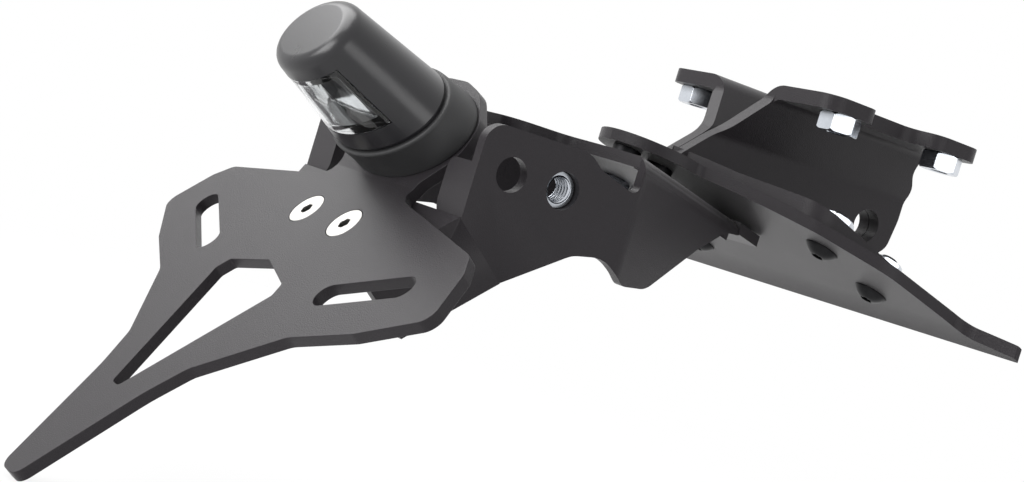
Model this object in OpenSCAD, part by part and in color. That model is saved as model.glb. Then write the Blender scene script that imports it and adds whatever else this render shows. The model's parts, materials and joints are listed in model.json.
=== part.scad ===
// Tail tidy: number plate hanger, plate light, folded arm, undertray and two folded seat brackets.
// +X is the bike's right, +Y its front, +Z up. The origin is the centre of the four flange nuts.

/* [Sheets] */
// Thickness of the undertray, the arm bracket and the hanger
sheet_t = 3; // [2.5:0.25:3.5]
// Thickness of the two front brackets
bracket_t = 4; // [3.5:0.25:4.5]

/* [Front brackets] */
// Distance between the flange nuts across the bike
pattern_x = 62; // [60:1:66]
// Distance between the flange nuts along the bike
pattern_y = 40; // [38:1:44]
// Distance from a flange nut to the outer edge of its ear
ear_reach = 5.5; // [5:0.25:7]
// Distance from a flange nut to the front or rear edge of its ear
ear_end = 9; // [8:0.5:10]
// How far the flange edge is set back between the ears
ear_step = 9; // [7:0.5:11]
// Radius of the flange holes
flange_hole_r = 3.2; // [3.1:0.1:3.5]
// Gap between the two back to back walls
wall_gap = 0.3; // [0.2:0.1:1]
// Depth of the fold line below the flange top
fold_depth = 18; // [16:0.5:20]
// Slant of the upper panel from vertical
panel_slant = 35; // [30:1:38]
// Radius inside the bends of the front brackets
bracket_bend_r = 4; // [3:0.5:5]
// Radius of the large hole in the lower wall
wall_hole_r = 4.85; // [4:0.25:6]
// Half width of the feet on the undertray
foot_reach = 46; // [44.5:0.5:48]

/* [Undertray] */
// Height of the underside where the tongue begins to curve
tray_z = -29.4; // [-31:0.2:-28]
// Slope of the tongue
tongue_slope = 8; // [6:0.5:9]
// Half width of the tongue
tongue_half = 17; // [16:0.5:17.5]
// Rear end of the tongue
tray_rear = -68; // [-70:0.5:-67.5]
// Front edge of the undertray
tray_front = 18.4; // [17:0.2:20]
// Half width of the front edge
tray_half_w = 80; // [78:1:84]
// Radius of the rear curve of the underside
tray_r_rear = 135; // [130:1:140]
// Radius of the front curve of the underside
tray_r_front = 60; // [56:1:70]
// Distance between the tray bolts across the bike
tray_bolt_x = 76; // [74:1:78]
// Distance between the tray bolts along the slope
tray_bolt_y = 22.5; // [21:0.5:23.5]

/* [Arm bracket] */
// Gap between the tongue and the arm bracket's spine
spine_gap = 5.7; // [5:0.1:6.5]
// Distance across the outside of the two hole plates
arm_w = 84; // [82:1:88]
// Rear edge of the hole plates
arm_rear = -130.6; // [-131.5:0.1:-130]
// Where the hole plates bend into the converging wings
arm_crease = -83.6; // [-86:0.2:-82]
// Angle between a wing and its hole plate
wing_angle = 24.4; // [23:0.2:26]
// Radius inside the bends of the arm bracket
arm_bend_r = 4; // [3:0.5:6]
// Radius of the plain indicator hole
indicator_hole_r = 4.2; // [4:0.1:4.5]
// Distance between the plain hole and the threaded one
indicator_pitch = 15; // [14:0.5:17]

/* [Hanger] */
// Tilt of the hanger from vertical
hanger_tilt = 38; // [36:0.5:39]
// Tilt of the light plate from vertical
light_tilt = 27; // [26:0.5:28]
// Half width of the hanger at its wings
hanger_half_w = 75.5; // [72:0.5:80]
// Distance from the wings' datum to the lower tip
hanger_drop = 103; // [98:0.5:108]
// Length of the long slots
slot_l = 30; // [26:0.5:32]
// Width of the long slots
slot_w = 7; // [6:0.25:8]
// Distance of the slots from the middle
slot_x = 46; // [44:0.5:48]
// Rise of the slots towards their outer ends
slot_angle = 25; // [20:1:30]
// Distance between the two countersunk screws
hanger_screw_x = 21.4; // [20:0.2:24]

/* [Plate light] */
// Half width of the rubber collar at its foot
collar_rx = 26; // [25:0.25:27]
// Half height of the rubber collar at its foot
collar_ry = 15; // [14.5:0.1:15.2]
// Height of the rubber collar
collar_h = 9; // [8:0.5:10]
// Height of the light above the light plate
light_h = 38; // [36:0.5:40]
// Half width of the light's end cap
cap_rx = 15; // [14:0.25:16]
// Half height of the light's end cap
cap_ry = 11; // [10.5:0.25:12]
// Distance between the light's two fixing screws
light_screw_x = 28; // [26:0.5:30]

/* [Fasteners] */
// Radius of the M5 shanks
m5_r = 2.5; // [2.4:0.05:2.6]
// Extra radius of a hole round its screw
screw_clear = 0.3; // [0.25:0.05:0.5]
// Extra radius of a nut's bore round its screw
thread_clear = 0.1; // [0.05:0.01:0.15]
// Radius of the button heads
button_r = 4.75; // [4.5:0.05:5]
// Height of the button heads
button_h = 2.75; // [2.5:0.05:3]
// Width across the flats of the M5 nuts
m5_nut_af = 8; // [7.8:0.1:8.5]
// Height of the M5 nuts
m5_nut_h = 2.7; // [2.5:0.1:4]
// Width across the flats of the M6 flange nuts
m6_nut_af = 10; // [9.8:0.1:10.2]
// Height of the M6 flange nuts
m6_nut_h = 5; // [4.5:0.1:6]

/* [Hidden] */
$fn = 64;
fine_fn = 96;
curve_step = 1;
bend_step = 6;
oval_n = 64;
far = 300;
eps = 0.01;

black = [0.07, 0.07, 0.075];
rubber = [0.04, 0.04, 0.045];
gloss = [0.05, 0.05, 0.06];
zinc = [0.75, 0.76, 0.78];
stainless = [0.66, 0.66, 0.65];
clear_lens = [0.86, 0.9, 0.92];
chrome = [0.82, 0.83, 0.85];
board = [0.12, 0.25, 0.16];

// Points of a closed outline, where each corner [x, y, r] is rounded to radius r
function corner_arc(a, b, c, r) =
    let (u = (a - b) / norm(a - b), v = (c - b) / norm(c - b),
         half = acos(max(-1, min(1, u * v))) / 2,
         reach = r / tan(half), mid = (u + v) / norm(u + v),
         centre = b + mid * r / sin(half), from = b + u * reach - centre,
         sweep = (180 - 2 * half) * sign(u[0] * v[1] - u[1] * v[0]),
         steps = max(2, ceil(abs(sweep) / 9)))
    [for (i = [0:steps])
        let (turn = -sweep * i / steps)
        centre + [from[0] * cos(turn) - from[1] * sin(turn), from[0] * sin(turn) + from[1] * cos(turn)]];

function rounded(corners) =
    let (n = len(corners))
    [for (i = [0:n - 1])
        let (a = corners[(i + n - 1) % n], b = corners[i], c = corners[(i + 1) % n],
             p = [a[0], a[1]], q = [b[0], b[1]], s = [c[0], c[1]])
        each (b[2] == 0 ? [q] : corner_arc(p, q, s, b[2]))];

// A half outline and its mirror image, as one closed outline
function both_sides(half) =
    let (n = len(half))
    concat(half, [for (i = [n - 1:-1:0]) if (half[i][0] != 0) [-half[i][0], half[i][1], half[i][2]]]);

// Sheet metal strip: each run is [length, turn, inside radius, angle of a facet], drawn along +X
// with the sheet on the left of the line; a turn above 0 goes to the left
function left_of(heading) = [-sin(heading), cos(heading)];

// One face of the strip, off away from the line
function fold_side(runs, t, off, p = [0, 0], heading = 0, i = 0) =
    i == len(runs) ? [] :
    let (turn = runs[i][1],
         end = p + runs[i][0] * [cos(heading), sin(heading)],
         rho = turn > 0 ? t + runs[i][2] : -runs[i][2],
         centre = end + rho * left_of(heading),
         steps = ceil(abs(turn) / (len(runs[i]) > 3 ? runs[i][3] : bend_step)))
    concat(
        i == 0 ? [p + off * left_of(heading)] : [],
        [end + off * left_of(heading)],
        [for (k = [1:1:steps]) centre - (rho - off) * left_of(heading + turn * k / steps)],
        fold_side(runs, t, off, centre - rho * left_of(heading + turn), heading + turn, i + 1)
    );

module folded(runs, t, w) {
    inner = fold_side(runs, t, 0);
    outer = fold_side(runs, t, t);
    linear_extrude(w) polygon(concat(inner, [for (i = [len(outer) - 1:-1:0]) outer[i]]));
}

// Side view: x runs along +Y, y along +Z, and the extrusion along +X
module side_view() {
    rotate([90, 0, 90]) children();
}

// Solid whose side view is the outline, from x0 to x1
module side_block(outline, x0, x1) {
    translate([x0, 0, 0]) side_view() linear_extrude(x1 - x0) polygon(outline);
}

// Solid whose plan is the outline, over the full height of the part
module plan_block(outline) {
    translate([0, 0, -far / 2]) linear_extrude(far) polygon(outline);
}

module both_hands() {
    children();
    mirror([1, 0, 0]) children();
}

// Undertray line in side view: straight tongue, rear curve, straight slope, front curve
tray_curve_start = -57;
tray_slope = 18;
tray_slope_end = 30;
tray_straight = 43.2;
tray_overrun = 20;
slope_start_y = tray_curve_start + tray_r_rear * (sin(tray_slope) - sin(tongue_slope));
slope_start_z = tray_z - tray_r_rear * (cos(tongue_slope) - cos(tray_slope));

// A layer that follows the undertray, from offset h above its underside, t thick
module tray_layer(h, t, rear, half_w) {
    tongue_l = (tray_curve_start - rear) / cos(tongue_slope);
    translate([-half_w, tray_curve_start, tray_z]) side_view() rotate(-tongue_slope) translate([-tongue_l, h]) folded([
        [tongue_l, tongue_slope - tray_slope, tray_r_rear + h, curve_step],
        [tray_straight, tray_slope - tray_slope_end, tray_r_front + h, curve_step],
        [tray_overrun, 0, 0]
    ], t, 2 * half_w);
}

// Places children on the sloping part of the undertray's underside, s along the slope
module on_slope(x, s) {
    translate([x, slope_start_y, slope_start_z]) rotate([-tray_slope, 0, 0]) translate([0, s, 0]) children();
}

slope_bolt_start = 15.8;
slope_bolt_s = [slope_bolt_start, slope_bolt_start + tray_bolt_y];

// Slope and height of the underside of the tongue and its rear curve, at y
function tongue_angle(y) =
    y > tray_curve_start ? asin(sin(tongue_slope) + (y - tray_curve_start) / tray_r_rear) : tongue_slope;
function tongue_z(y) =
    y > tray_curve_start ? tray_z - tray_r_rear * (cos(tongue_slope) - cos(tongue_angle(y)))
                         : tray_z - (y - tray_curve_start) * tan(tongue_slope);

// Places children on the underside of the tongue, in the middle, at y
module on_tongue(y) {
    translate([0, y, tongue_z(y)]) rotate([-tongue_angle(y), 0, 0]) children();
}

// Fasteners, with the seat of the head or nut at z = 0
csk_r = 2 * m5_r;
csk_rim = 0.4;
csk_clear = 0.1;
m5_socket_af = 3;
module hex(af, h) {
    cylinder(r = af / sqrt(3), h = h, $fn = 6);
}

module hex_nut(af, h, bore_r) {
    bevel = af / 2 * 1.05;
    difference() {
        intersection() {
            hex(af, h);
            union() {
                cylinder(r1 = bevel, r2 = bevel + 1, h = 1);
                translate([0, 0, 1]) cylinder(r = bevel + 1, h = h - 2);
                translate([0, 0, h - 1]) cylinder(r1 = bevel + 1, r2 = bevel, h = 1);
            }
        }
        translate([0, 0, -1]) cylinder(r = bore_r, h = h + 2);
        translate([0, 0, -eps]) cylinder(r1 = bore_r + 0.4, r2 = bore_r, h = 0.4);
        translate([0, 0, h - 0.4]) cylinder(r1 = bore_r, r2 = bore_r + 0.4, h = 0.4 + eps);
    }
}

// Button head below z = 0, shank above it
module button_bolt(grip) {
    dome_r = (button_r * button_r + button_h * button_h) / (2 * button_h);
    difference() {
        intersection() {
            translate([0, 0, dome_r - button_h]) sphere(r = dome_r, $fn = fine_fn);
            translate([0, 0, -button_h]) cylinder(r = button_r, h = button_h);
        }
        translate([0, 0, -button_h - 1]) hex(m5_socket_af, 1 + 1.7);
    }
    cylinder(r = m5_r, h = grip);
}

// Countersunk head with its face at z = 0, shank below it
module countersunk_screw(grip) {
    difference() {
        union() {
            translate([0, 0, -csk_rim]) cylinder(r = csk_r, h = csk_rim);
            translate([0, 0, -csk_rim - m5_r]) cylinder(r1 = m5_r, r2 = csk_r, h = m5_r);
        }
        translate([0, 0, -1.8]) hex(m5_socket_af, 3);
    }
    translate([0, 0, -grip]) cylinder(r = m5_r, h = grip - csk_rim - m5_r);
}

// Recess for a countersunk head with its face at z = 0
module countersink() {
    translate([0, 0, -csk_rim]) cylinder(r = csk_r + csk_clear, h = 2);
    translate([0, 0, -csk_rim - m5_r]) cylinder(r1 = m5_r + csk_clear, r2 = csk_r + csk_clear, h = m5_r);
}

module screw_hole(t) {
    translate([0, 0, -1]) cylinder(r = m5_r + screw_clear, h = t + 2);
}

// Front bracket profile in end view: lower wall, slanted panel, flange
wall_face = wall_gap / 2 + bracket_t;
wall_low = 62;
panel_rise = fold_depth - bracket_t;
flange_root = wall_face + panel_rise * tan(panel_slant);
fold_tangent = bracket_bend_r * tan(panel_slant / 2);
root_tangent = bracket_bend_r * tan((90 - panel_slant) / 2);
ear_x = pattern_x / 2 + ear_reach;
ear_rear = -pattern_y / 2 - ear_end;
ear_front = pattern_y / 2 + ear_end + 2;
ear_in_rear = -pattern_y / 2 + ear_end - 1.5;
ear_in_front = pattern_y / 2 - ear_end + 1;
ear_r = 6;
flange_out = 60;
foot_front = slope_start_y + (slope_bolt_start + tray_bolt_y) * cos(tray_slope) + 10.7;

module bracket_profile() {
    translate([wall_face, far / 2, -wall_low]) rotate([90, 0, 0]) rotate([0, 0, 90]) folded([
        [wall_low - fold_depth - fold_tangent, -panel_slant, bracket_bend_r],
        [panel_rise / cos(panel_slant) - fold_tangent - root_tangent, panel_slant - 90, bracket_bend_r],
        [flange_out - flange_root - root_tangent, 0, 0]
    ], bracket_t, far);
}

// Side outline of a front bracket: slanting rear edge and S shaped front edge
module bracket_side() {
    side_block(rounded([
        [ear_rear, 2, 0], [ear_rear, -4, 4], [ear_rear - 6, -15, 12],
        [ear_rear - 19, -26.6, 9], [ear_rear - 22, -34, 0], [ear_rear - 10, -60, 0],
        [foot_front + 1, -60, 0], [foot_front + 3, -50, 0],
        [36, -32.5, 5], [37.4, -24, 12], [37.4, -15, 7], [ear_front, -9, 7], [ear_front, 2, 0]
    ]), -1, flange_out);
}

module bracket_plan() {
    step_x = ear_x - ear_step;
    plan_block(rounded([
        [-1, -100, 0], [flange_root - 1, -100, 0], [flange_root - 1, ear_rear, 0],
        [ear_x, ear_rear, ear_r], [ear_x, ear_in_rear, ear_r - 1],
        [step_x, ear_in_rear + 3, 5], [step_x, ear_in_front - 3, 5],
        [ear_x, ear_in_front, ear_r - 1], [ear_x, ear_front - 1.5, ear_r],
        [flange_root - 1, ear_front + 0.5, 0], [flange_root - 1, 100, 0], [-1, 100, 0]
    ]));
}

// Foot of a front bracket, bent outwards on the undertray
module bracket_foot() {
    intersection() {
        tray_layer(sheet_t, bracket_t, tray_rear, foot_reach + 10);
        plan_block(rounded([
            [wall_gap / 2, ear_rear - 18, 0], [18, ear_rear - 8, 10],
            [foot_reach, ear_rear - 1, 8], [foot_reach, foot_front, 7], [wall_gap / 2, foot_front, 0]
        ]));
    }
}

below_tray = 40;
module front_bracket() {
    color(black) difference() {
        union() {
            intersection() {
                bracket_profile();
                bracket_side();
                bracket_plan();
            }
            bracket_foot();
        }
        tray_layer(sheet_t - below_tray, below_tray, tray_rear - 50, foot_reach + 20);
        for (y = [-1, 1])
            translate([pattern_x / 2, y * pattern_y / 2, -bracket_t - 1])
                cylinder(r = flange_hole_r, h = bracket_t + 2);
        for (s = slope_bolt_s)
            on_slope(tray_bolt_x / 2, s) screw_hole(sheet_t + bracket_t);
        translate([-1, 25.7, -28.2]) rotate([0, 90, 0]) cylinder(r = wall_hole_r, h = 12);
    }
}

module flange_nut(side_x, side_y) {
    color(zinc) translate([side_x * pattern_x / 2, side_y * pattern_y / 2, -bracket_t - m6_nut_h])
        hex_nut(m6_nut_af, m6_nut_h, 2.5);
}

// Undertray: fan shaped sheet bent along its length
tray_edge = rounded(both_sides([
    [tongue_half, tray_rear, tongue_half - eps], [tongue_half, -49, 3], [45.5, -28.8, 14], [58.5, -13, 16],
    [64, 13.5, 6], [tray_half_w, tray_front - 1.5, 1], [tray_half_w, tray_front, 0.5]
]));

module undertray() {
    color(black) difference() {
        intersection() {
            tray_layer(0, sheet_t, tray_rear - 5, tray_half_w + 5);
            plan_block(tray_edge);
        }
        for (x = [-1, 1], s = slope_bolt_s)
            on_slope(x * tray_bolt_x / 2, s) screw_hole(sheet_t);
        for (y = spine_bolt_y)
            on_tongue(y) {
                screw_hole(sheet_t);
                translate([0, 0, sheet_t]) countersink();
            }
    }
}

module tray_bolt(side_x, s) {
    color(black) on_slope(side_x * tray_bolt_x / 2, s) button_bolt(sheet_t + bracket_t + m5_nut_h + 1);
}

module tray_nut(side_x, s) {
    color(zinc) on_slope(side_x * tray_bolt_x / 2, s) translate([0, 0, sheet_t + bracket_t])
        hex_nut(m5_nut_af, m5_nut_h, m5_r + thread_clear);
}

// Arm bracket: spine under the tongue, converging wings, hole plates and the hanger's mount
arm_half = arm_w / 2;
spine_rear = -107.6;
spine_front = -16;
spine_half = 14;
spine_bend_y = -84.3;
spine_bend_r = 60;
spine_bolt_y = [-61.5, -49.5];
spacer_r = 4;
wing_tip_y = -30;
hole_z = -45.4;
plain_hole_y = arm_rear + 9.6;
thread_hole_y = plain_hole_y + indicator_pitch;
function wing_mid_x(y) = arm_half - sheet_t / 2 / cos(wing_angle) - (y - arm_crease) * tan(wing_angle);

// Height of the spine's upper face at y, in front of its bend
function spine_top(y) = tray_z - spine_gap / cos(tongue_slope) - (y - tray_curve_start) * tan(tongue_slope);

// Distance between the tongue and the spine along a screw at y, and the room that a seat of radius r
// needs where the two aren't parallel
function gap_at(y) =
    (tongue_z(y) - spine_top(y)) / (cos(tongue_angle(y)) + sin(tongue_angle(y)) * tan(tongue_slope));
function seat_room(y, r) = r * tan(tongue_angle(y) - tongue_slope);

// A layer that follows the spine, from offset h above its upper face, t thick
module spine_layer(h, t, rear, half_w) {
    flat = spine_bend_y - rear - spine_bend_r * tan(tongue_slope / 2);
    translate([-half_w, rear, spine_top(spine_bend_y) + h]) side_view() folded([
        [flat, -tongue_slope, spine_bend_r + h, curve_step],
        [-spine_bend_y, 0, 0]
    ], t, 2 * half_w);
}

module spine() {
    intersection() {
        spine_layer(-sheet_t, sheet_t, spine_rear - 5, arm_half);
        plan_block(rounded(both_sides([
            [spine_half, spine_rear, 6], [spine_half, arm_crease - 7, 5],
            [wing_mid_x(arm_crease + 1), arm_crease + 1, 0], [wing_mid_x(spine_front), spine_front, 2]
        ])));
    }
}

// Profile placed along the upper outer edge of the right wing, from and to in y
wing_bend_r = 3;
wing_edge_slope = atan(tan(tongue_slope) * cos(wing_angle));
wing_edge_roll = atan(tan(tongue_slope) * sin(wing_angle) * cos(wing_edge_slope));
module along_wing(from, to) {
    translate([arm_half, arm_crease, spine_top(arm_crease)])
        rotate([0, 0, wing_angle]) rotate([-wing_edge_slope, 0, 0])
            translate([0, (to - arm_crease) / cos(wing_angle), 0]) rotate([90, 0, 0])
                linear_extrude((to - from) / cos(wing_angle)) children();
}

// What the bend between a wing and the spine takes off their outer corner
module wing_bend_cut() {
    r = wing_bend_r + sheet_t;
    along_wing(arm_crease - 1, wing_tip_y + 1) difference() {
        translate([-r - 1, -r - 1]) square(r + 4);
        polygon(rounded([
            [0, 0, r], [-far, far * tan(wing_edge_roll), 0], [-far, -far, 0], [0, -far, 0]
        ]));
    }
}

// Round inner corner between a wing and the spine
module wing_bend_fill() {
    inner = -sheet_t - wing_bend_r;
    along_wing(arm_crease + 3, wing_tip_y - 1) difference() {
        translate([inner, inner]) square(wing_bend_r + 0.6);
        translate([inner, inner]) circle(wing_bend_r);
    }
}

// Hole plate and wing of the right side, bent at the crease
module arm_side() {
    crease_tangent = (arm_bend_r + sheet_t) * tan(wing_angle / 2);
    intersection() {
        translate([arm_half, arm_rear, -100]) rotate([0, 0, 90]) folded([
            [arm_crease - arm_rear - crease_tangent, wing_angle, arm_bend_r],
            [(wing_tip_y - arm_crease) / cos(wing_angle) - crease_tangent + 4, 0, 0]
        ], sheet_t, 100);
        side_block(rounded([
            [arm_rear, -34.8, 5], [-101, -34.8, 8], [-97, -38, 8],
            [arm_crease - 1, -41.4, 2], [arm_crease - 1, -20, 0], [wing_tip_y, -20, 0],
            [wing_tip_y, -42.5, 0.5], [-38, -42.8, 10], [-50, -49.5, 10], [-69, -62.8, 9],
            [-80, -63.4, 5], [-89, -58, 9], [-98, -59.5, 8], [-115.5, -70.4, 0], [-120, -76, 0], [arm_rear, -62, 0]
        ]), 0, arm_half + 1);
        above_fold();
    }
}

// Everything above the fold line, where the hole plates turn into the returns
module above_fold() {
    hanger_frame() translate([-far / 2, fold_y, -far / 2]) cube(far);
}

// Local frame of the hanger: x across, y up the sheet, z out of its rear face
hanger_y = -138;
hanger_z = -62.1;
neck_y = 8.4;
neck_half = 20.8;
neck_bend_r = 3;
neck_tangent = neck_bend_r * tan((hanger_tilt - light_tilt) / 2);
module hanger_frame() {
    translate([0, hanger_y, hanger_z]) rotate([90 - hanger_tilt, 0, 0]) children();
}

// Local frame of the light plate, at the bend in the neck
module light_plate_frame() {
    hanger_frame() translate([0, neck_y, 0]) rotate([hanger_tilt - light_tilt, 0, 0]) children();
}

fold_y = 7.4;
mount_low = -17;
return_depth = 20;
return_slant = 23;
tab_in = 29;
tab_top = -45;
tab_low = -60;
mount_half_low = arm_half + (mount_low - fold_y) * tan(return_slant);

// Plate behind the hanger with a return at each side
module hanger_mount() {
    hanger_frame() {
        translate([0, 0, -2 * sheet_t]) linear_extrude(sheet_t) polygon(rounded(both_sides([
            [arm_half, fold_y, 0], [mount_half_low, mount_low, 3]
        ])));
        both_hands() translate([0, 0, -return_depth - sheet_t]) linear_extrude(return_depth) polygon([
            [arm_half, fold_y], [mount_half_low, mount_low],
            [mount_half_low - sheet_t, mount_low], [arm_half - sheet_t, fold_y]
        ]);
    }
}

// Rear tab of a hole plate, beside the light plate
module rear_tab() {
    translate([0, arm_rear + sheet_t, 0]) rotate([90, 0, 0]) linear_extrude(sheet_t) polygon(rounded([
        [arm_half, tab_top, 0], [tab_in, tab_top, 3], [tab_in, tab_low, 5],
        [arm_half - 1, tab_low, 4], [arm_half, tab_low + 4, 0]
    ]));
}

above_spine = 60;
module arm_bracket() {
    color(black) difference() {
        union() {
            spine();
            both_hands() {
                arm_side();
                wing_bend_fill();
            }
            hanger_mount();
            both_hands() rear_tab();
        }
        spine_layer(0, above_spine, spine_rear - 40, far / 2);
        both_hands() wing_bend_cut();
        translate([-arm_w, plain_hole_y, hole_z]) rotate([0, 90, 0])
            cylinder(r = indicator_hole_r, h = 2 * arm_w);
        translate([-arm_w, thread_hole_y, hole_z]) rotate([0, 90, 0])
            cylinder(r = clinch_pilot_r + clinch_clear, h = 2 * arm_w);
        for (y = spine_bolt_y)
            on_tongue(y) translate([0, 0, -gap_at(y) - sheet_t]) screw_hole(sheet_t);
        for (x = [-1, 1])
            hanger_frame() translate([x * hanger_screw_x / 2, hanger_screw_y, -2 * sheet_t])
                screw_hole(sheet_t);
    }
}

clinch_pilot_r = 4.5;
clinch_clear = 0.1;
clinch_body_r = 6.4;
clinch_h = 5.5;
clinch_bore_r = 3.4;
clinch_sink = 2;

module clinch_nut() {
    color(zinc) translate([arm_half - sheet_t, thread_hole_y, hole_z]) rotate([0, 90, 0]) difference() {
        union() {
            translate([0, 0, -clinch_h]) cylinder(r = clinch_body_r, h = clinch_h);
            cylinder(r = clinch_pilot_r, h = sheet_t - clinch_sink);
        }
        translate([0, 0, -clinch_h - 1]) cylinder(r = clinch_bore_r, h = clinch_h + sheet_t + 2);
    }
}

// Countersunk from above, through the tongue, a spacer and the spine
module spine_bolt(y) {
    color(black) on_tongue(y) translate([0, 0, sheet_t])
        countersunk_screw(2 * sheet_t + gap_at(y) + m5_nut_h + 1.5);
}

module spine_spacer(y) {
    length = gap_at(y) - seat_room(y, spacer_r);
    color(black) on_tongue(y) translate([0, 0, -length]) difference() {
        cylinder(r = spacer_r, h = length);
        translate([0, 0, -1]) cylinder(r = m5_r + thread_clear, h = length + 2);
    }
}

module spine_nut(y) {
    drop = gap_at(y) + sheet_t + seat_room(y, m5_nut_af / sqrt(3)) + m5_nut_h;
    color(zinc) on_tongue(y) translate([0, 0, -drop])
        hex_nut(m5_nut_af, m5_nut_h, m5_r + thread_clear);
}

// Hanger outline, from the neck down to the tip; y is up the sheet
hanger_screw_y = -7.5;
hanger_edge = rounded(both_sides([
    [neck_half, neck_y - neck_tangent, 0], [neck_half, 6, 2], [24, 4, 4],
    [hanger_half_w - 10, -3.4, 5], [hanger_half_w - 5, -8.5, 4], [hanger_half_w + 0.8, -22, 4],
    [hanger_half_w - 17, -33, 8], [hanger_half_w - 36, -41, 8], [19.5, -59.5, 6], [14.5, -70, 30],
    [4.6, -hanger_drop, 4]
]));
cut_out_edge = rounded(both_sides([[0, -25.2, 0], [15.5, -29.6, 1.5], [17, -33.4, 1.5], [2, -72, 1.5]]));

module slot() {
    translate([0, 0, -1]) linear_extrude(sheet_t + 2) polygon(rounded([
        [-slot_l / 2, -slot_w / 2, slot_w / 2 - eps], [slot_l / 2, -slot_w / 2, slot_w / 2 - eps],
        [slot_l / 2, slot_w / 2, slot_w / 2 - eps], [-slot_l / 2, slot_w / 2, slot_w / 2 - eps]
    ]));
}

light_y = 15.5;
light_plate_edge = rounded(both_sides([
    [neck_half, neck_tangent, 0], [neck_half, 2, 3], [27.6, 12, 10], [25.5, 21.5, 9], [14, 30.5, 12], [5, 33, 12]
]));

// Bend between the hanger and the light plate
module neck() {
    lap = 1.5;
    hanger_frame() translate([neck_half, neck_y - neck_tangent - lap, 0]) mirror([1, 0, 0]) side_view()
        mirror([0, 1, 0]) folded([
            [lap, light_tilt - hanger_tilt, neck_bend_r],
            [lap, 0, 0]
        ], sheet_t, 2 * neck_half);
}

module number_plate_hanger() {
    color(black) difference() {
        union() {
            hanger_frame() translate([0, 0, -sheet_t]) linear_extrude(sheet_t) polygon(hanger_edge);
            light_plate_frame() translate([0, 0, -sheet_t]) linear_extrude(sheet_t) polygon(light_plate_edge);
            neck();
        }
        hanger_frame() {
            translate([0, 0, -sheet_t - 1]) linear_extrude(sheet_t + 2) polygon(cut_out_edge);
            for (side = [-1, 1]) {
                translate([side * slot_x, -22.3, -sheet_t]) rotate([0, 0, side * slot_angle]) slot();
                translate([side * hanger_screw_x / 2, hanger_screw_y, 0]) {
                    translate([0, 0, -sheet_t]) screw_hole(sheet_t);
                    countersink();
                }
            }
        }
        light_plate_frame() translate([0, light_y, -sheet_t]) {
            for (side = [-1, 1])
                translate([side * light_screw_x / 2, 0, -1])
                    cylinder(r = light_screw_r + screw_clear, h = sheet_t + 2);
            translate([0, 0, -1]) cylinder(r = grommet_r + screw_clear, h = sheet_t + 2);
        }
    }
}

module hanger_screw(side) {
    color(stainless) hanger_frame() translate([side * hanger_screw_x / 2, hanger_screw_y, 0])
        countersunk_screw(2 * sheet_t + washer_t + m5_nut_h + 1.5);
}

washer_t = 1;
module hanger_washer(side) {
    color(zinc) hanger_frame()
        translate([side * hanger_screw_x / 2, hanger_screw_y, -2 * sheet_t - washer_t]) difference() {
            cylinder(r = 5, h = washer_t);
            translate([0, 0, -1]) cylinder(r = m5_r + 0.15, h = washer_t + 2);
        }
}

module hanger_nut(side) {
    color(zinc) hanger_frame()
        translate([side * hanger_screw_x / 2, hanger_screw_y, -2 * sheet_t - washer_t - m5_nut_h])
        hex_nut(m5_nut_af, m5_nut_h, m5_r + thread_clear);
}

// Plate light, lofted through ovals [half width, half height, centre y, height]
module light_frame() {
    light_plate_frame() translate([0, light_y, 0]) children();
}

module loft(rings) {
    n = oval_n;
    last = len(rings) - 1;
    polyhedron(
        points = [for (ring = rings, i = [0:n - 1])
            [ring[0] * cos(360 * i / n), ring[2] + ring[1] * sin(360 * i / n), ring[3]]],
        faces = concat(
            [[for (i = [0:n - 1]) i]],
            [for (k = [0:last - 1], i = [0:n - 1])
                [k * n + i, (k + 1) * n + i, (k + 1) * n + (i + 1) % n, k * n + (i + 1) % n]],
            [[for (i = [n - 1:-1:0]) last * n + i]]
        )
    );
}

light_screw_r = 2;
grommet_r = 4;
light_drop = 1.9;
body_rx = 23.4;
body_ry = 14;
edge_r = 3;
lens_cut = -7.8;
lens_low = 15;
lens_high = 32;
shell = 2;

// Half width, half height and centre of the tapered body at height h, less an inset
function body_ring(h, inset) =
    let (k = (h - collar_h) / (light_h - collar_h))
    [body_rx + (cap_rx - body_rx) * k - inset, body_ry + (cap_ry - body_ry) * k - inset,
     -1 + (1 - light_drop) * k, h];

module light_collar() {
    color(rubber) light_frame() difference() {
        union() {
            loft([
                [collar_rx, collar_ry, 0, 0], [collar_rx, collar_ry, 0, 1.5],
                [collar_rx - 0.7, collar_ry - 0.2, -0.3, 4], [24.5, 14.8, -0.8, collar_h - 1.5],
                [24.5, 14.8, -1, collar_h - 0.6], [24, 14.4, -1, collar_h]
            ]);
            translate([0, 0, -sheet_t - 1.5]) cylinder(r = grommet_r, h = sheet_t + 2);
        }
        for (side = [-1, 1])
            translate([side * light_screw_x / 2, 0, -1]) cylinder(r = light_screw_r + screw_clear, h = collar_h + 2);
    }
}

// Tapered body with a rounded end
module light_form(inset) {
    loft(concat(
        [[body_rx - 0.9 - inset, body_ry - 0.9 - inset, -1, collar_h],
         [body_rx - 0.9 - inset, body_ry - 0.9 - inset, -1, collar_h + 1]],
        [for (k = [0:4]) body_ring(collar_h + 1 + k * (light_h - edge_r - collar_h - 1) / 4, inset)],
        [for (a = [15:15:90])
            let (ring = body_ring(light_h - edge_r + edge_r * sin(a), inset + edge_r * (1 - cos(a))))
            [ring[0], ring[1], ring[2], ring[3] - inset * sin(a)]]
    ));
}

module lens_block(clear) {
    translate([-far / 2, lens_cut + clear - far, lens_low - clear])
        cube([far, far, lens_high - lens_low + 2 * clear]);
}

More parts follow.
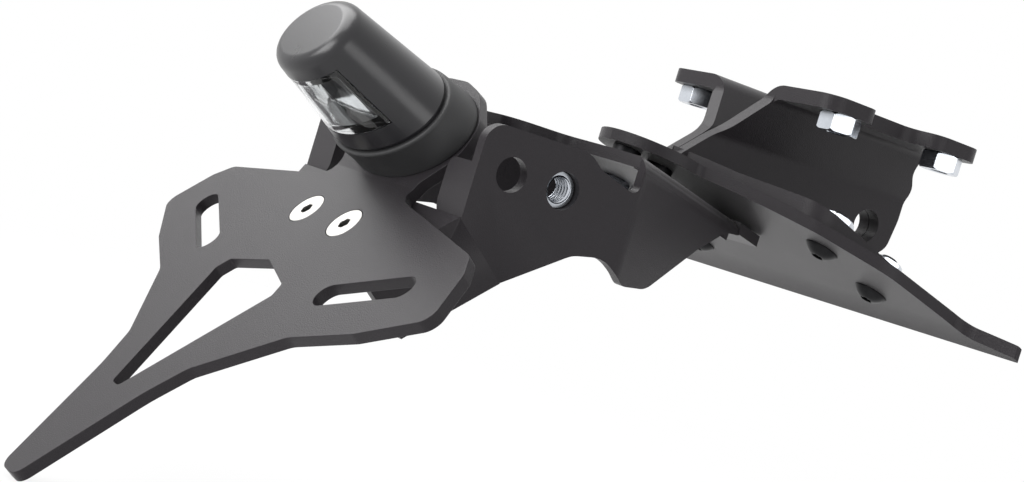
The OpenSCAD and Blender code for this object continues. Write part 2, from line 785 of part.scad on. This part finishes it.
cavity_half_w = 11.5;
cavity_top = 3;
module light_housing() {
    color(gloss) light_frame() difference() {
        light_form(0);
        lens_block(0.15);
        translate([-cavity_half_w, cavity_top - far, lens_low + 1])
            cube([2 * cavity_half_w, far, lens_high - lens_low - 2]);
        for (side = [-1, 1])
            translate([side * light_screw_x / 2, 0, collar_h - 1]) cylinder(r = light_screw_r + 0.1, h = 6.2);
    }
}

module light_lens() {
    color(clear_lens) light_frame() difference() {
        intersection() {
            light_form(0.1);
            lens_block(0);
        }
        intersection() {
            light_form(shell);
            translate([-far / 2, -far / 2, lens_low + shell])
                cube([far, far, lens_high - lens_low - 2 * shell]);
        }
    }
}

// Reflector: a trough with sloping ends above the lens
reflector_t = 0.8;
module light_reflector() {
    low = lens_low + 1.2;
    high = lens_high - 1.2;
    color(chrome) light_frame() translate([-cavity_half_w + 0.2, 0, 0]) side_view()
        linear_extrude(2 * cavity_half_w - 0.4) polygon([
            [lens_cut + 0.4, low], [cavity_top - 1.6, low + 4], [cavity_top - 1.6, high - 4], [lens_cut + 0.4, high],
            [lens_cut + 0.4, high - reflector_t], [cavity_top - 1.6 - reflector_t, high - 4 - reflector_t],
            [cavity_top - 1.6 - reflector_t, low + 4 + reflector_t], [lens_cut + 0.4, low + reflector_t]
        ]);
}

module led_board() {
    color(board) light_frame() translate([-cavity_half_w + 1, cavity_top - 1.5, lens_low + 4])
        cube([2 * cavity_half_w - 2, 1.5, lens_high - lens_low - 8]);
}

module led(side) {
    color(chrome) light_frame()
        translate([side * 5, cavity_top - 1.6 - reflector_t, (lens_low + lens_high) / 2])
        rotate([90, 0, 0]) {
            cylinder(r = 2, h = 1);
            translate([0, 0, 1]) intersection() {
                sphere(r = 1.8);
                cylinder(r = 2, h = 2);
            }
        }
}

module light_screw(side) {
    color(black) light_frame() translate([side * light_screw_x / 2, 0, -sheet_t]) {
        translate([0, 0, -2.4]) difference() {
            cylinder(r = 3.9, h = 2.4);
            translate([0, 0, -1]) hex(2.5, 2.6);
        }
        cylinder(r = light_screw_r, h = sheet_t + collar_h + 5);
    }
}

mirror([1, 0, 0]) front_bracket();  // front_bracket_left
front_bracket();  // front_bracket_right
flange_nut(-1, -1);  // flange_nut_left_rear
flange_nut(-1, 1);  // flange_nut_left_front
flange_nut(1, -1);  // flange_nut_right_rear
flange_nut(1, 1);  // flange_nut_right_front
undertray();
tray_bolt(-1, slope_bolt_s[0]);  // tray_bolt_left_rear
tray_bolt(-1, slope_bolt_s[1]);  // tray_bolt_left_front
tray_bolt(1, slope_bolt_s[0]);  // tray_bolt_right_rear
tray_bolt(1, slope_bolt_s[1]);  // tray_bolt_right_front
tray_nut(-1, slope_bolt_s[0]);  // tray_nut_left_rear
tray_nut(-1, slope_bolt_s[1]);  // tray_nut_left_front
tray_nut(1, slope_bolt_s[0]);  // tray_nut_right_rear
tray_nut(1, slope_bolt_s[1]);  // tray_nut_right_front
arm_bracket();
spine_bolt(spine_bolt_y[0]);  // spine_bolt_rear
spine_bolt(spine_bolt_y[1]);  // spine_bolt_front
spine_spacer(spine_bolt_y[0]);  // spine_spacer_rear
spine_spacer(spine_bolt_y[1]);  // spine_spacer_front
spine_nut(spine_bolt_y[0]);  // spine_nut_rear
spine_nut(spine_bolt_y[1]);  // spine_nut_front
mirror([1, 0, 0]) clinch_nut();  // clinch_nut_left
clinch_nut();  // clinch_nut_right
number_plate_hanger();
hanger_screw(-1);  // hanger_screw_left
hanger_screw(1);  // hanger_screw_right
hanger_washer(-1);  // hanger_washer_left
hanger_washer(1);  // hanger_washer_right
hanger_nut(-1);  // hanger_nut_left
hanger_nut(1);  // hanger_nut_right
light_collar();
light_housing();
light_lens();
light_reflector();
led_board();
led(-1);  // led_left
led(1);  // led_right
light_screw(-1);  // light_screw_left
light_screw(1);  // light_screw_right
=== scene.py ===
import json
import math
import bmesh
import bpy
import numpy as np
from mathutils import Matrix, Vector


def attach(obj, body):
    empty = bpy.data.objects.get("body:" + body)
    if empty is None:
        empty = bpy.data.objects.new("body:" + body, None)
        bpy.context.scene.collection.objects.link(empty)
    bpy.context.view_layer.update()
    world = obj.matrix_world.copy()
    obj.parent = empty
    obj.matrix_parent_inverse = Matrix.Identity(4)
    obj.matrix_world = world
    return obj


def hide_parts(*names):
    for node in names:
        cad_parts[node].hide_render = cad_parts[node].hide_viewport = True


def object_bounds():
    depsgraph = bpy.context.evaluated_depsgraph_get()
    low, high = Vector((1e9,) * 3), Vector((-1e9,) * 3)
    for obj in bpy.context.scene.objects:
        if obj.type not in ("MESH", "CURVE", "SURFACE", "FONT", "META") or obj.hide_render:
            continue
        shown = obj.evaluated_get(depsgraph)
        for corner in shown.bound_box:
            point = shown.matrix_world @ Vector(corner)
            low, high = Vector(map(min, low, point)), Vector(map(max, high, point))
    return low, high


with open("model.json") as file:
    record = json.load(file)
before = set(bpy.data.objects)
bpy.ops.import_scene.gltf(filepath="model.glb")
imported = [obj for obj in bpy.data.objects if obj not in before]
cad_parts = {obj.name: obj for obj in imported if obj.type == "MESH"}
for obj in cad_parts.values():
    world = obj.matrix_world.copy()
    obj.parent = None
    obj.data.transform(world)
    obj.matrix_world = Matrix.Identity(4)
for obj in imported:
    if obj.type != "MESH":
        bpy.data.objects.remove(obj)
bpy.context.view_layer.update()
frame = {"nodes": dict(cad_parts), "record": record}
print("frame loaded,", len(frame["nodes"]), "nodes")

mm = 0.001  # in metres
nodes = frame["nodes"]


# Node tree helpers

def newMaterial(name):
    material = bpy.data.materials.new(name)
    material.use_nodes = True
    return material, material.node_tree, material.node_tree.nodes["Principled BSDF"]


def addNode(tree, kind, **values):
    node = tree.nodes.new(kind)
    for key, value in values.items():
        if key in node.inputs:
            node.inputs[key].default_value = value
        else:
            setattr(node, key, value)
    return node


def noise(tree, scale, detail, roughness=0.5):
    # fractal noise on object coordinates, scale in cycles per metre
    place = addNode(tree, "ShaderNodeTexCoord")
    texture = addNode(tree, "ShaderNodeTexNoise", Scale=scale, Detail=detail, Roughness=roughness)
    tree.links.new(place.outputs["Object"], texture.inputs["Vector"])
    return texture.outputs["Fac"]


def spread(tree, value, low, high):
    # maps 0..1 to low..high
    ramp = addNode(tree, "ShaderNodeMapRange")
    ramp.inputs["To Min"].default_value = low
    ramp.inputs["To Max"].default_value = high
    tree.links.new(value, ramp.inputs["Value"])
    return ramp.outputs["Result"]


def blend(tree, value, first, second):
    # a colour between first and second
    ramp = addNode(tree, "ShaderNodeMix", data_type="RGBA")
    ramp.inputs["A"].default_value = (*first, 1)
    ramp.inputs["B"].default_value = (*second, 1)
    tree.links.new(value, ramp.inputs["Factor"])
    return ramp.outputs["Result"]


def bump(tree, shader, value, height):
    # height: what a value of 1 stands for, in metres
    ridge = addNode(tree, "ShaderNodeBump", Distance=height, Strength=1.0)
    tree.links.new(value, ridge.inputs["Height"])
    tree.links.new(ridge.outputs["Normal"], shader.inputs["Normal"])


# Finishes: patch and grain in cycles per metre, grainDepth and shade in metres

def mottled(name, look):
    # dark to pale and rough's first to second value drift together with one noise, patch; detail
    # and patchRough are that noise's own. grain is a fine bump, and shade is painted shade: it
    # darkens the colour of what lies closer to another surface than its length, as in sockets and
    # threads.
    material, tree, shader = newMaterial(name)
    cloud = noise(tree, look["patch"], look["detail"], look.get("patchRough", 0.5))
    tint = blend(tree, cloud, look["dark"], look["pale"])
    if "shade" in look:
        # painted shade: an ambient occlusion node darkens the base colour in recesses
        paintedShade = addNode(tree, "ShaderNodeAmbientOcclusion", Distance=look["shade"],
                        samples=look["shadeRays"])
        tree.links.new(tint, paintedShade.inputs["Color"])
        tint = paintedShade.outputs["Color"]
    tree.links.new(tint, shader.inputs["Base Color"])
    tree.links.new(spread(tree, cloud, *look["rough"]), shader.inputs["Roughness"])
    if "grain" in look:
        bump(tree, shader, noise(tree, look["grain"], look["grainDetail"]), look["grainDepth"])
    for socket, value in look.get("sockets", {}).items():
        shader.inputs[socket].default_value = value
    return material


powderCoat = dict(
    dark=(0.0166, 0.0143, 0.0168), pale=(0.0208, 0.0181, 0.0211), patch=45, detail=4,
    rough=(0.36, 0.44), grain=3300, grainDetail=3, grainDepth=0.075 * mm,
    sockets={"Specular IOR Level": 0.22, "Sheen Weight": 0.10, "Sheen Roughness": 0.35})

# what the three metals share; shade is how far the painted shade in sockets and threads reaches
metal = dict(detail=5, patchRough=0.6, grainDetail=2, grainDepth=0.01 * mm, shade=2.5 * mm,
             shadeRays=8, sockets={"Metallic": 1.0})

zincPlate = dict(
    metal, dark=(0.52, 0.55, 0.60), pale=(0.70, 0.73, 0.78), patch=260, rough=(0.16, 0.30),
    grain=3120)

stainlessSteel = dict(
    metal, dark=(0.36, 0.355, 0.34), pale=(0.48, 0.47, 0.45), patch=320, rough=(0.30, 0.42),
    grain=3840)

blackOxide = dict(
    metal, dark=(0.012, 0.012, 0.013), pale=(0.03, 0.03, 0.031), patch=400, rough=(0.32, 0.48),
    grain=4800)

collarRubber = dict(
    dark=(0.012, 0.012, 0.013), pale=(0.024, 0.024, 0.025), patch=120, detail=4,
    rough=(0.5, 0.66), grain=1500, grainDetail=3, grainDepth=0.03 * mm)

lampPlastic = dict(
    dark=(0.009, 0.0085, 0.010), pale=(0.014, 0.0135, 0.016), patch=90, detail=3,
    rough=(0.25, 0.32), grain=1600, grainDetail=2, grainDepth=0.012 * mm)

clearPlastic = dict(
    dark=(0.93, 0.95, 0.96), pale=(0.97, 0.98, 0.98), patch=150, detail=2, rough=(0.02, 0.06),
    sockets={"Transmission Weight": 1.0, "IOR": 1.49})

mirrorFoil = dict(
    dark=(0.72, 0.73, 0.74), pale=(0.86, 0.87, 0.88), patch=220, detail=3, rough=(0.10, 0.2),
    sockets={"Metallic": 1.0})

boardLacquer = dict(
    dark=(0.02, 0.06, 0.03), pale=(0.03, 0.10, 0.05), patch=500, detail=3, rough=(0.3, 0.45))

phosphor = dict(
    dark=(0.72, 0.62, 0.20), pale=(0.85, 0.78, 0.36), patch=900, detail=3, rough=(0.25, 0.4))

finishes = {
    "powder_coat": mottled("powderCoat", powderCoat),
    "black_screw": mottled("blackOxide", blackOxide),
    "zinc": mottled("zincPlate", zincPlate),
    "stainless": mottled("stainlessSteel", stainlessSteel),
    "rubber": mottled("collarRubber", collarRubber),
    "black_plastic": mottled("lampPlastic", lampPlastic),
    "lens": mottled("clearPlastic", clearPlastic),
    "reflector": mottled("mirrorFoil", mirrorFoil),
    "circuit": mottled("boardLacquer", boardLacquer),
    "led": mottled("phosphor", phosphor),
}
print("finishes made")


# Pieces that stand for the CAD solids: the same surfaces, merged, with softened edges

# the rounded edge's width in millimetres and its segments, by slot
edges = dict(powder_coat=(0.45, 3), black_screw=(0.25, 2), zinc=(0.15, 2), stainless=(0.15, 2),
             rubber=(0.3, 2), black_plastic=(0.3, 3), lens=(0.12, 2), reflector=(0.1, 2),
             circuit=(0.1, 1))
# merge: points closer than this are one; flat: faces that turn less than this are one; sharp:
# edges that turn more than this are rounded
clean = dict(merge=0.002 * mm, flat=math.radians(0.3), sharp=math.radians(28), faceWeight=100)
ownFinish = dict(led_left="led", led_right="led")  # the pieces whose finish isn't their slot's


def softened(name, slot):
    # a merged copy of the node with its flat faces joined and its edges rounded
    mesh = nodes[name].data.copy()
    mesh.name = name + "_finish"
    work = bmesh.new()
    work.from_mesh(mesh)
    bmesh.ops.remove_doubles(work, verts=work.verts, dist=clean["merge"])
    bmesh.ops.dissolve_limit(work, angle_limit=clean["flat"], verts=work.verts,
                             edges=work.edges)
    work.to_mesh(mesh)
    work.free()
    mesh.materials.clear()
    mesh.materials.append(finishes[ownFinish.get(name, slot)])
    mesh.polygons.foreach_set("use_smooth", np.ones(len(mesh.polygons), bool))
    mesh.set_sharp_from_angle(angle=clean["sharp"])
    piece = bpy.data.objects.new(name + "_finish", mesh)
    bpy.context.scene.collection.objects.link(piece)
    width, segments = edges[slot]
    bevel = piece.modifiers.new("edge", "BEVEL")
    bevel.width = width * mm
    bevel.segments = segments
    bevel.limit_method = "ANGLE"
    bevel.angle_limit = clean["sharp"]
    bevel.use_clamp_overlap = True
    bevel.miter_outer = "MITER_ARC"
    weights = piece.modifiers.new("normals", "WEIGHTED_NORMAL")
    weights.mode = "FACE_AREA"
    weights.weight = clean["faceWeight"]
    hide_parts(name)
    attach(piece, "root")
    return piece


pieces = {}
for part in frame["record"]["subparts"]:
    pieces[part["node"]] = softened(part["node"], part["material_slot"])
print("pieces finished,", len(pieces))


# Threads in the bores of the nuts and on the free ends of the screws

def tube(name, points, slot, outward):
    # Each point is joined to the next one on its ring and to the same two on the ring above; the
    # last on a ring meets the first. The faces point away from the middle, or towards it.
    rows, around = points.shape[:2]
    index = np.arange(rows * around).reshape(rows, around)
    here, beside = index[:-1], np.roll(index, -1, axis=1)[:-1]
    above, aboveBeside = index[1:], np.roll(index, -1, axis=1)[1:]
    order = [here, beside, aboveBeside, above] if outward else [here, above, aboveBeside, beside]
    faces = np.stack(order, axis=-1).reshape(-1, 4)
    mesh = bpy.data.meshes.new(name)
    mesh.from_pydata(points.reshape(-1, 3).tolist(), [], faces.tolist())
    mesh.polygons.foreach_set("use_smooth", np.ones(len(mesh.polygons), bool))
    mesh.materials.append(finishes[slot])
    piece = bpy.data.objects.new(name, mesh)
    bpy.context.scene.collection.objects.link(piece)
    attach(piece, "root")


ridges = dict(rowsPerTurn=10, around=56, slope=1.7, root=0.35)


def helix(span, pitch):
    # The turn of a point is its way along over the pitch, less its angle as a share of a circle.
    # The ridge is a triangle wave of the turn, times slope, less root, cut off at 0 and at 1.
    rows = int(span / pitch * ridges["rowsPerTurn"]) + 1
    along = np.linspace(0, span, rows)[:, None]
    angle = np.linspace(0, 2 * np.pi, ridges["around"], endpoint=False)[None, :]
    turn = np.mod(along / pitch - angle / (2 * np.pi), 1)
    wave = 1 - np.abs(2 * turn - 1)
    return along, angle, np.clip(ridges["slope"] * wave - ridges["root"], 0, 1)


def boundsOf(name):
    points = np.array([tuple(vertex.co) for vertex in nodes[name].data.vertices])
    return points.min(axis=0), points.max(axis=0)


bores = dict(
    clinch_nut=dict(axis=0, radius=3.39 * mm, paintedShade=0.5 * mm, pitch=1.25 * mm),
    flange_nut=dict(axis=2, radius=2.49 * mm, paintedShade=0.3 * mm, pitch=1.0 * mm),
)
boreMargin = 0.15 * mm  # between the thread and each face of its nut


def threadIn(name, axis, radius, paintedShade, pitch):
    # A tube in the bore along the axis: its radius is the bore's, less the ridge times the depth.
    low, high = boundsOf(name)
    middle = (low + high) / 2
    along, angle, ridge = helix(high[axis] - low[axis] - 2 * boreMargin, pitch)
    reach = radius - paintedShade * ridge
    first, second = (axis + 1) % 3, (axis + 2) % 3
    points = np.zeros((*reach.shape, 3))
    points[..., axis] = low[axis] + boreMargin + along
    points[..., first] = middle[first] + reach * np.cos(angle)
    points[..., second] = middle[second] + reach * np.sin(angle)
    tube(name + "_thread", points, "zinc", False)


# lean: how far the shank is turned from +Z towards +Y, in degrees; free: its length past the nut
freeEnds = dict(
    tray_bolt=dict(slot="black_screw", lean=18, free=1.0 * mm),
    hanger_screw=dict(slot="stainless", lean=128, free=1.5 * mm),
    spine_bolt_rear=dict(slot="black_screw", lean=188, free=1.4 * mm),
    spine_bolt_front=dict(slot="black_screw", lean=191.23, free=1.4 * mm),
)
# inNut: where the thread starts, inside the nut; tipMargin: how far it ends short of the tip;
# fade: over what length it fades there; tipFace: points this close to the tip belong to its face
shank = dict(radius=2.49 * mm, pitch=0.8 * mm, tipRatio=0.86, inNut=0.3 * mm,
             tipMargin=0.1 * mm, fade=0.35 * mm, tipFace=0.01 * mm)


def narrowTip(mesh, axis, free):
    # Cuts the shank where its free end starts and draws the tip in to tipRatio of its radius.
    work = bmesh.new()
    work.from_mesh(mesh)
    tip = max(vertex.co.dot(axis) for vertex in work.verts)
    ring = [vertex.co for vertex in work.verts if vertex.co.dot(axis) > tip - shank["tipFace"]]
    middle = sum(ring, Vector()) / len(ring)
    bmesh.ops.bisect_plane(work, geom=work.verts[:] + work.edges[:] + work.faces[:],
                           plane_co=middle - axis * free, plane_no=axis)
    for vertex in work.verts:
        if vertex.co.dot(axis) > tip - shank["tipFace"]:
            vertex.co = middle + (vertex.co - middle) * shank["tipRatio"]
    work.to_mesh(mesh)
    work.free()
    return middle


def threadOut(name, slot, lean, free):
    # A tube around the narrowed end: the core's radius falls evenly from the nut to the tip, and
    # the ridge fills it out to the full radius again. The ridge fades before the tip's face.
    axis = Vector((0, math.sin(math.radians(lean)), math.cos(math.radians(lean))))
    middle = narrowTip(pieces[name].data, axis, free)
    radius, inNut = shank["radius"], shank["inNut"]
    span = free + inNut - shank["tipMargin"]
    along, angle, ridge = helix(span, shank["pitch"])
    core = radius * (1 - (1 - shank["tipRatio"]) * np.clip((along - inNut) / free, 0, 1))
    fade = np.clip((span - along) / shank["fade"], 0, 1)
    reach = (core + (radius - core) * ridge * fade)[..., None]
    side, up = np.array((1.0, 0, 0)), np.array(axis.cross(Vector((1, 0, 0))))
    base = np.array(middle - axis * (free + inNut))
    points = base + along[..., None] * np.array(axis) + reach * (
        np.cos(angle)[..., None] * side + np.sin(angle)[..., None] * up)
    tube(name + "_thread", points, slot, True)


for side in ("left", "right"):
    threadIn("clinch_nut_" + side, **bores["clinch_nut"])
    for end in ("rear", "front"):
        threadIn("flange_nut_" + side + "_" + end, **bores["flange_nut"])
    for end in ("rear", "front"):
        threadOut("tray_bolt_" + side + "_" + end, **freeEnds["tray_bolt"])
    threadOut("hanger_screw_" + side, **freeEnds["hanger_screw"])
for name in ("spine_bolt_rear", "spine_bolt_front"):
    threadOut(name, **freeEnds[name])
print("threads made")


# Camera, fitted to the photograph

# place, focal and sensor in millimetres, angles in degrees, near and far in metres
shot = dict(place=(395.83, -345.97, -49.08), azimuth=56.93, drop=1.49, roll=17.05, focal=63.7,
            sensor=36, near=0.01, far=50)


def fittedCamera():
    azimuth, drop, roll = (math.radians(shot[key]) for key in ("azimuth", "drop", "roll"))
    ahead = Vector((-math.sin(azimuth) * math.cos(drop), math.cos(azimuth) * math.cos(drop),
                    -math.sin(drop)))
    right = ahead.cross(Vector((0, 0, 1))).normalized()
    up = right.cross(ahead)
    across = right * math.cos(roll) + up * math.sin(roll)
    upright = up * math.cos(roll) - right * math.sin(roll)
    lens = bpy.data.cameras.new("camera")
    lens.lens = shot["focal"]
    lens.sensor_width = shot["sensor"]
    lens.clip_start = shot["near"]
    lens.clip_end = shot["far"]
    camera = bpy.data.objects.new("camera", lens)
    bpy.context.scene.collection.objects.link(camera)
    turn = Matrix((across, upright, -ahead)).transposed().to_4x4()
    camera.matrix_world = Matrix.Translation(Vector(shot["place"]) * mm) @ turn
    bpy.context.scene.camera = camera


fittedCamera()


# Studio: pale floor, white surround and soft lamps

# Sizes in metres. surround lights the object and white is what is seen of the world; paperSeen is
# the share of plain white in the floor beside the object, and fade the distances over which that
# share grows to 1.
studio = dict(floorSize=6.0, floorTone=0.86, toneSpread=0.02, cloud=3, floorRough=0.9,
              surround=0.5, white=1.0, paperSeen=0.9, fade=(0.25, 0.6))


def seenAs(tree):
    # 1 for camera, transmission and glossy rays
    path = addNode(tree, "ShaderNodeLightPath")
    seen = path.outputs["Is Camera Ray"]
    for kind in ("Is Transmission Ray", "Is Glossy Ray"):
        either = addNode(tree, "ShaderNodeMath", operation="MAXIMUM")
        tree.links.new(seen, either.inputs[0])
        tree.links.new(path.outputs[kind], either.inputs[1])
        seen = either.outputs[0]
    return seen


def makeFloor():
    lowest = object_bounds()[0].z
    half = studio["floorSize"] / 2
    mesh = bpy.data.meshes.new("floor")
    corners = np.array([(-half, -half), (half, -half), (half, half), (-half, half)])
    points = np.column_stack([corners, np.full(4, lowest)])
    mesh.from_pydata(points.tolist(), [], [(0, 1, 2, 3)])
    floor = bpy.data.objects.new("floor", mesh)
    bpy.context.scene.collection.objects.link(floor)
    material, tree, shader = newMaterial("floorPaper")
    cloud = noise(tree, studio["cloud"], 2)
    tone = studio["floorTone"]
    paper = blend(tree, cloud, (tone,) * 3, (tone + studio["toneSpread"],) * 3)
    tree.links.new(paper, shader.inputs["Base Color"])
    shader.inputs["Roughness"].default_value = studio["floorRough"]
    glow = addNode(tree, "ShaderNodeEmission", Strength=studio["white"])
    mix = addNode(tree, "ShaderNodeMixShader")
    # the share of plain white grows to 1 away from the object, so that no horizon shows
    place = addNode(tree, "ShaderNodeTexCoord")
    away = addNode(tree, "ShaderNodeVectorMath", operation="LENGTH")
    fade = addNode(tree, "ShaderNodeMapRange", interpolation_type="SMOOTHSTEP")
    fade.inputs["From Min"].default_value, fade.inputs["From Max"].default_value = studio["fade"]
    fade.inputs["To Min"].default_value = studio["paperSeen"]
    tree.links.new(place.outputs["Object"], away.inputs[0])
    tree.links.new(away.outputs["Value"], fade.inputs["Value"])
    seen = addNode(tree, "ShaderNodeMath", operation="MULTIPLY")
    tree.links.new(fade.outputs["Result"], seen.inputs[1])
    tree.links.new(seenAs(tree), seen.inputs[0])
    tree.links.new(seen.outputs[0], mix.inputs[0])
    tree.links.new(shader.outputs[0], mix.inputs[1])
    tree.links.new(glow.outputs[0], mix.inputs[2])
    tree.links.new(mix.outputs[0], tree.nodes["Material Output"].inputs["Surface"])
    mesh.materials.append(material)


def makeWorld():
    world = bpy.data.worlds.new("studio")
    bpy.context.scene.world = world
    world.use_nodes = True
    tree = world.node_tree
    ground = tree.nodes["Background"]
    ground.inputs["Color"].default_value = (1, 1, 1, 1)
    strength = addNode(tree, "ShaderNodeMapRange")
    strength.inputs["To Min"].default_value = studio["surround"]
    strength.inputs["To Max"].default_value = studio["white"]
    tree.links.new(seenAs(tree), strength.inputs["Value"])
    tree.links.new(strength.outputs["Result"], ground.inputs["Strength"])


# places and sizes in metres, power in watts
lamps = [
    dict(name="overhead", place=(-0.6, -0.5, 0.85), aim=(0, -0.1, -0.05), size=(1.1, 1.1),
         power=14),
    dict(name="rearKey", place=(-0.1, -1.25, 0.25), aim=(0, -0.1, -0.06), size=(0.8, 0.6),
         power=9),
    dict(name="sideFill", place=(1.1, -0.1, 0.1), aim=(0, -0.05, -0.05), size=(0.6, 0.6),
         power=2.5),
]


def makeLamp(name, place, aim, size, power):
    light = bpy.data.lights.new(name, "AREA")
    light.shape = "RECTANGLE"
    light.size, light.size_y = size
    light.energy = power
    lamp = bpy.data.objects.new(name, light)
    bpy.context.scene.collection.objects.link(lamp)
    facing = (Vector(aim) - Vector(place)).to_track_quat("-Z", "Y")
    lamp.matrix_world = Matrix.Translation(place) @ facing.to_matrix().to_4x4()


makeFloor()
makeWorld()
for lamp in lamps:
    makeLamp(**lamp)
bpy.context.scene.view_settings.view_transform = "Standard"
print("studio made")
